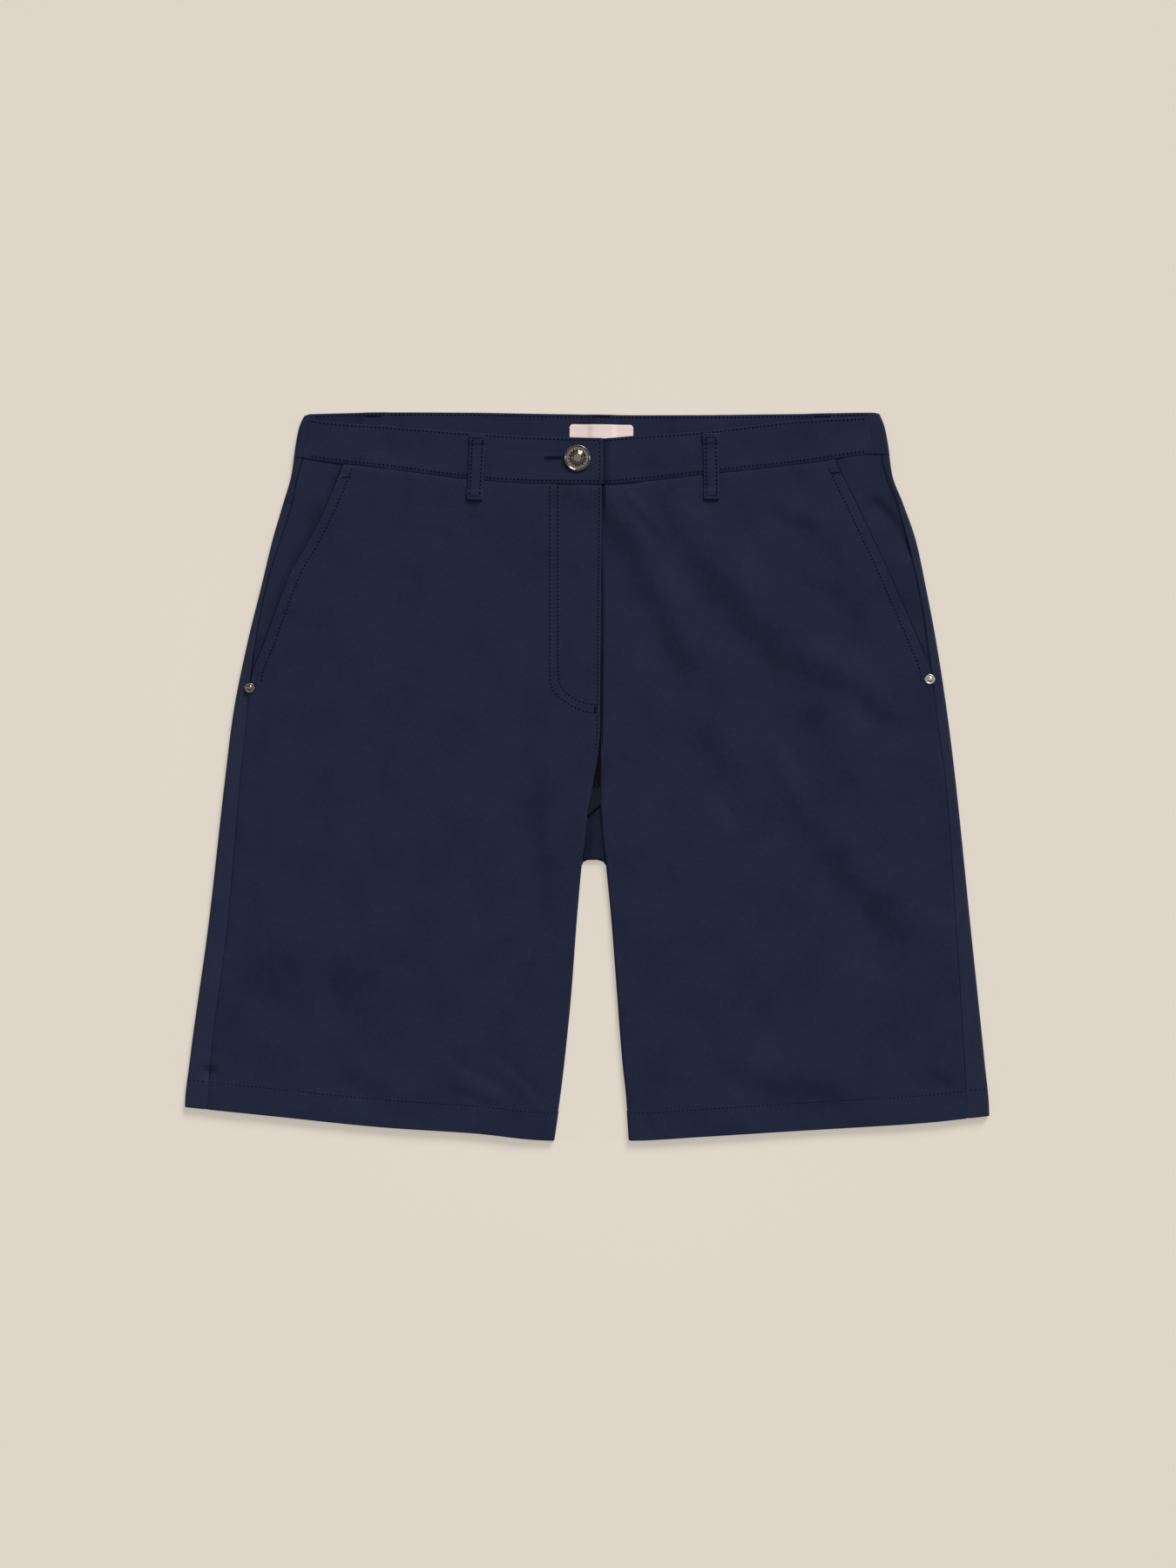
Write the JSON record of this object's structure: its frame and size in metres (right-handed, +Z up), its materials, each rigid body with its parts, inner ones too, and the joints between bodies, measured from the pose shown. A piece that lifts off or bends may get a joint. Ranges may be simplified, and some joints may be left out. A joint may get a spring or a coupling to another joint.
{
  "type": "bermuda shorts",
  "caption": "Navy cotton bermuda shorts laid flat, front side up, with slant pockets, fly, shank button, rivets and belt loops.",
  "frame": {"origin": "centre of the outline, on the surface that the shorts lie on", "axes": "+X towards the wearer's left, +Y towards the waist, +Z up from the surface, out of the front of the shorts"},
  "size_m": [0.5904, 0.5344, 0.0109],
  "materials": {
    "navy_cotton": "matt, fine twill",
    "zip_tape": "matt woven tape",
    "pink_ribbon": "soft satin ribbon",
    "polished_metal": "polished gunmetal"
  },
  "bodies": {
    "root": {"right_front": "navy_cotton", "right_pocket_facing": "navy_cotton", "right_back": "navy_cotton", "right_yoke": "navy_cotton", "right_rivet": "polished_metal", "left_front": "navy_cotton", "left_pocket_facing": "navy_cotton", "left_back": "navy_cotton", "left_yoke": "navy_cotton", "left_rivet": "polished_metal", "waistband_back": "navy_cotton", "waistband_right_front": "navy_cotton", "waistband_left_front": "navy_cotton", "right_front_loop": "navy_cotton", "left_front_loop": "navy_cotton", "right_back_loop": "navy_cotton", "centre_back_loop": "navy_cotton", "left_back_loop": "navy_cotton", "fly_zip": "zip_tape", "label": "pink_ribbon", "button": "polished_metal"}
  },
  "joints": []
}
